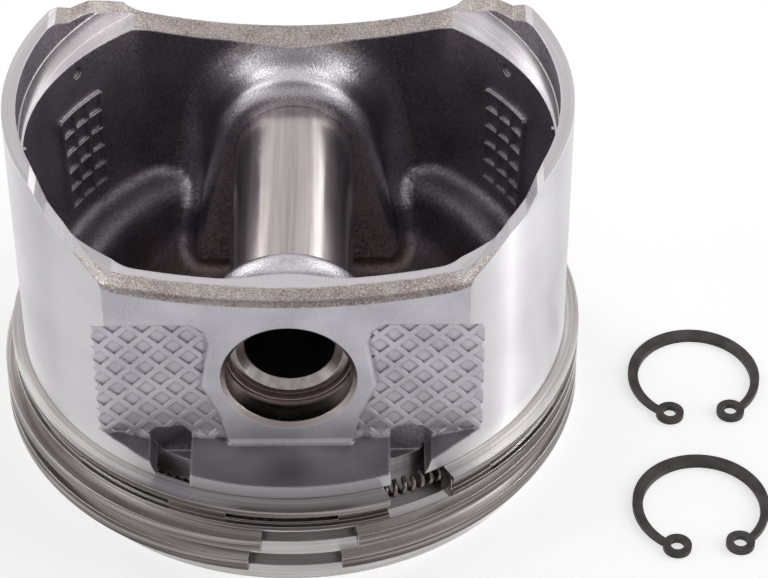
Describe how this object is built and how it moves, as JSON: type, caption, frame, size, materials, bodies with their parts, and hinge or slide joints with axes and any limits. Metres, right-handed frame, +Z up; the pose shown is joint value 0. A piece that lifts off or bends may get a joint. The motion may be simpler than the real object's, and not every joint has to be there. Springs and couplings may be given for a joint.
{
  "type": "compressor piston",
  "caption": "Aluminium compressor piston on its crown, open skirt up, with hollow gudgeon pin, sprung rings, slotted oil ring with coil expander, and loose lugged circlips beside it",
  "frame": {"origin": "centre of the flat crown face, on the piston's axis; the piston stands on it, crown down", "axes": "+Z up the piston's axis to the open end of the skirt, Y along the gudgeon pin with the pictured end at -Y, X across the pin to the right"},
  "size_m": [0.1421, 0.1091, 0.07],
  "materials": {
    "cast_aluminium": "die-cast inside and on the panels, turned satin on the skirt",
    "ground_steel": "ground",
    "ring_iron": "turned",
    "spring_steel": "oiled dark"
  },
  "bodies": {
    "piston": {"piston_body": "cast_aluminium", "circlip_back": "spring_steel", "circlip_front": "spring_steel"},
    "pin": {"gudgeon_pin": "ground_steel"},
    "first_ring": {"top_ring": "ring_iron"},
    "middle_ring": {"second_ring": "ring_iron"},
    "scraper": {"oil_ring": "ring_iron", "oil_ring_expander": "spring_steel"}
  },
  "joints": [
    {"name": "pin_slide", "type": "slide", "parent": "piston", "child": "pin", "axis": [0, -1, 0], "range_m": [-0.07, 0.07]},
    {"name": "top_ring_turn", "type": "hinge", "parent": "piston", "child": "first_ring", "pos_m": [-0.0007, 0.002, 0.0048], "axis": [0, 0, 1], "continuous": true},
    {"name": "second_ring_turn", "type": "hinge", "parent": "piston", "child": "middle_ring", "pos_m": [-0.0007, 0.0009, 0.0107], "axis": [0, 0, 1], "continuous": true},
    {"name": "oil_ring_turn", "type": "hinge", "parent": "piston", "child": "scraper", "pos_m": [0.0003, -0.0012, 0.0173], "axis": [0, 0, 1], "continuous": true}
  ]
}
